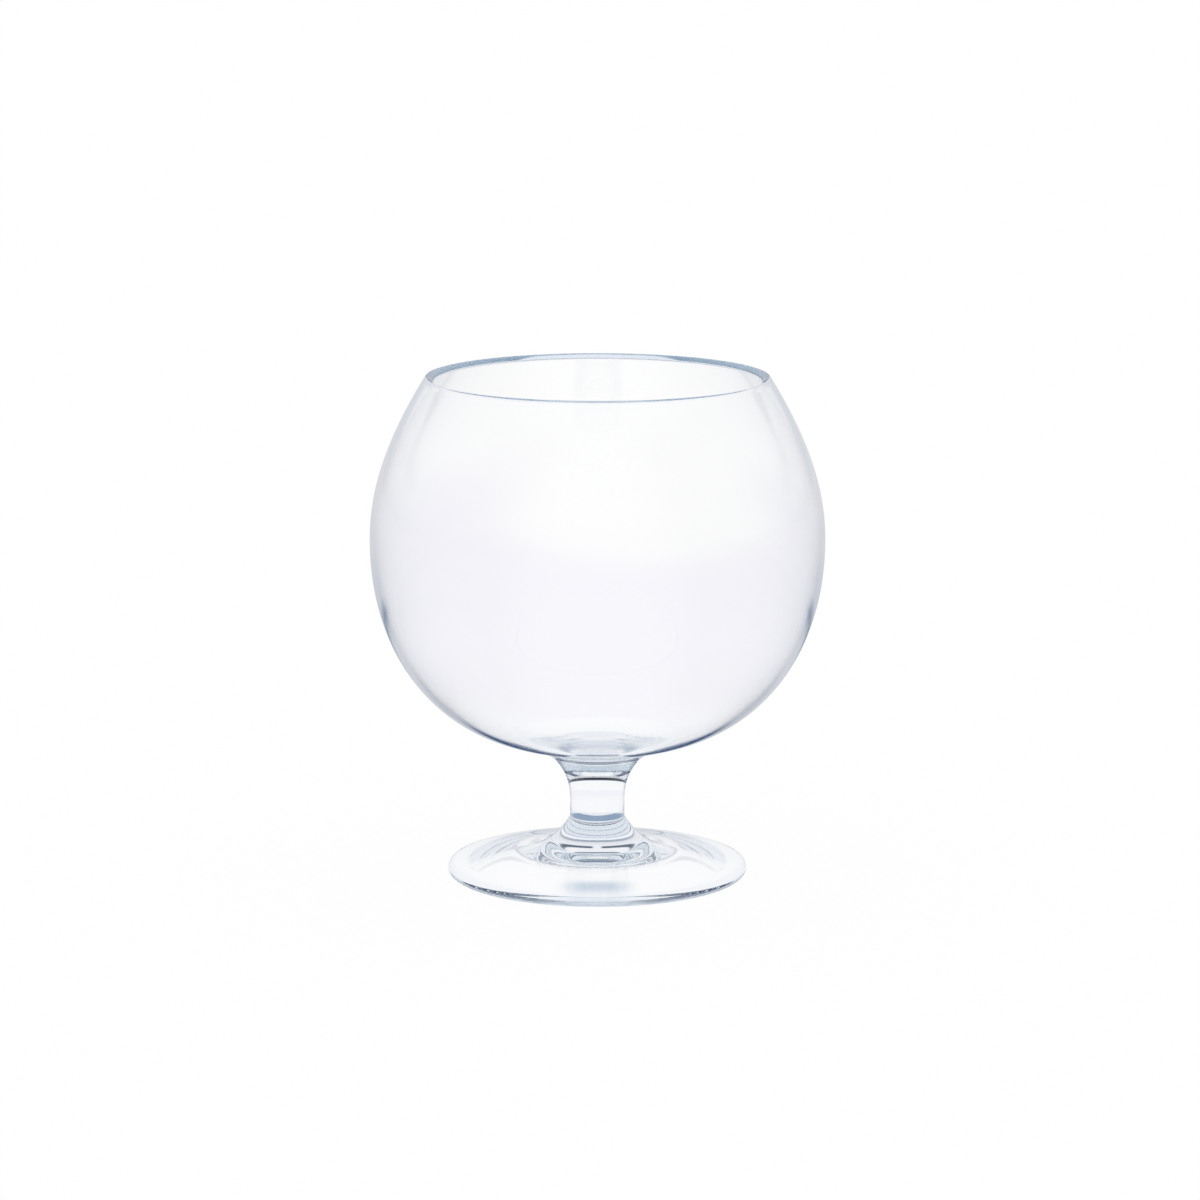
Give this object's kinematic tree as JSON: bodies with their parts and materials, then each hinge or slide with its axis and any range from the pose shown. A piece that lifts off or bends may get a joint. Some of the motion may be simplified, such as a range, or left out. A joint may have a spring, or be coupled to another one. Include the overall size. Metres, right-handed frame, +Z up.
{
  "type": "fishbowl glass",
  "caption": "Clear fishbowl drinking glass: a wide round bowl that narrows to its rim, on a short spool-shaped stem and a round foot.",
  "frame": {"origin": "middle of the plane that the foot rests on", "axes": "+Z up along the glass's axis, from the foot to the open rim; the shape is round, so X and Y are free"},
  "size_m": [0.116, 0.116, 0.1289],
  "materials": {
    "bowl_glass": "clear, fire-polished",
    "stem_glass": "clear, fire-polished",
    "foot_glass": "clear, pressed and fire-polished"
  },
  "bodies": {
    "root": {"bowl": "bowl_glass", "stem": "stem_glass", "foot": "foot_glass"}
  },
  "joints": []
}
